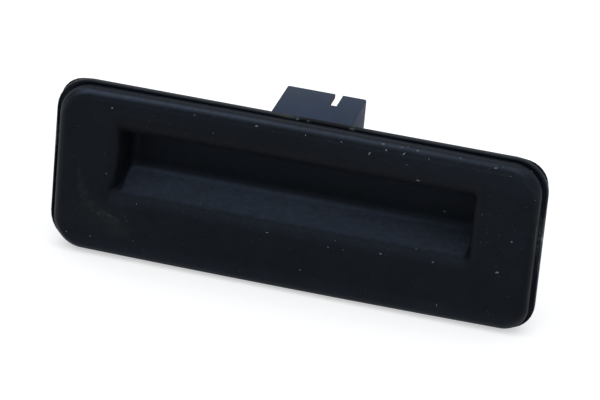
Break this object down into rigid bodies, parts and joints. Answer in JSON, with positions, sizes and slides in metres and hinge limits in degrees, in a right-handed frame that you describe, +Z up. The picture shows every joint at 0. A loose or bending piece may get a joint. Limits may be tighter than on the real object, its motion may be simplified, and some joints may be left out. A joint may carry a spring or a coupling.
{
  "type": "trunk lid handle",
  "caption": "Trunk lid release handle: soft black rubber front with a long finger recess, thin plastic rim, and a switch housing with a connector shroud behind.",
  "frame": {"origin": "middle of the panel cut-out, in the plane of the panel's outer skin", "axes": "+X along the handle to the right as seen from outside, +Y into the car, +Z up"},
  "size_m": [0.1174, 0.0289, 0.0432],
  "materials": {
    "rubber": "satin, dusty",
    "frame_plastic": "fine moulded texture",
    "housing_plastic": "satin, grey-black",
    "foam": "closed-cell foam",
    "acetal": "natural, satin",
    "steel": "bright",
    "spring_steel": "blued and oiled",
    "zinc": "zinc plated",
    "switch_plastic": "satin",
    "plunger_plastic": "satin",
    "copper": "bright copper alloy",
    "tin": "tin plated"
  },
  "bodies": {
    "root": {"soft_cover": "rubber", "carrier_frame": "frame_plastic", "switch_housing": "housing_plastic", "panel_gasket": "foam", "lever_pin_left": "steel", "lever_pin_right": "steel", "lever_spring_left": "spring_steel", "lever_spring_right": "spring_steel", "switch_cover": "frame_plastic", "switch_case": "switch_plastic", "switch_lid": "switch_plastic", "fixed_contact_left": "copper", "fixed_contact_right": "copper", "connector_pin_left": "tin", "connector_pin_right": "tin", "housing_screw_left": "zinc", "housing_screw_right": "zinc", "retaining_clip_left": "spring_steel", "retaining_clip_right": "spring_steel"},
    "lever": {"press_lever": "acetal"},
    "plunger": {"switch_plunger": "plunger_plastic", "contact_bridge": "copper"}
  },
  "joints": [
    {"name": "lever_rock", "type": "hinge", "parent": "root", "child": "lever", "pos_m": [0, 0.0013, 0.0142], "axis": [1, 0, 0], "range_deg": [0, 5], "stiffness_Nm_per_rad": 0.03, "springref_deg": -5.73, "deforming": ["lever_spring_left", "lever_spring_right"]},
    {"name": "plunger_slide", "type": "slide", "parent": "root", "child": "plunger", "axis": [0, 1, 0], "range_m": [0, 0.0009]}
  ],
  "couplings": [
    {"joint": "plunger_slide", "follows": "lever_rock", "m_per_rad": 0.0098}
  ]
}
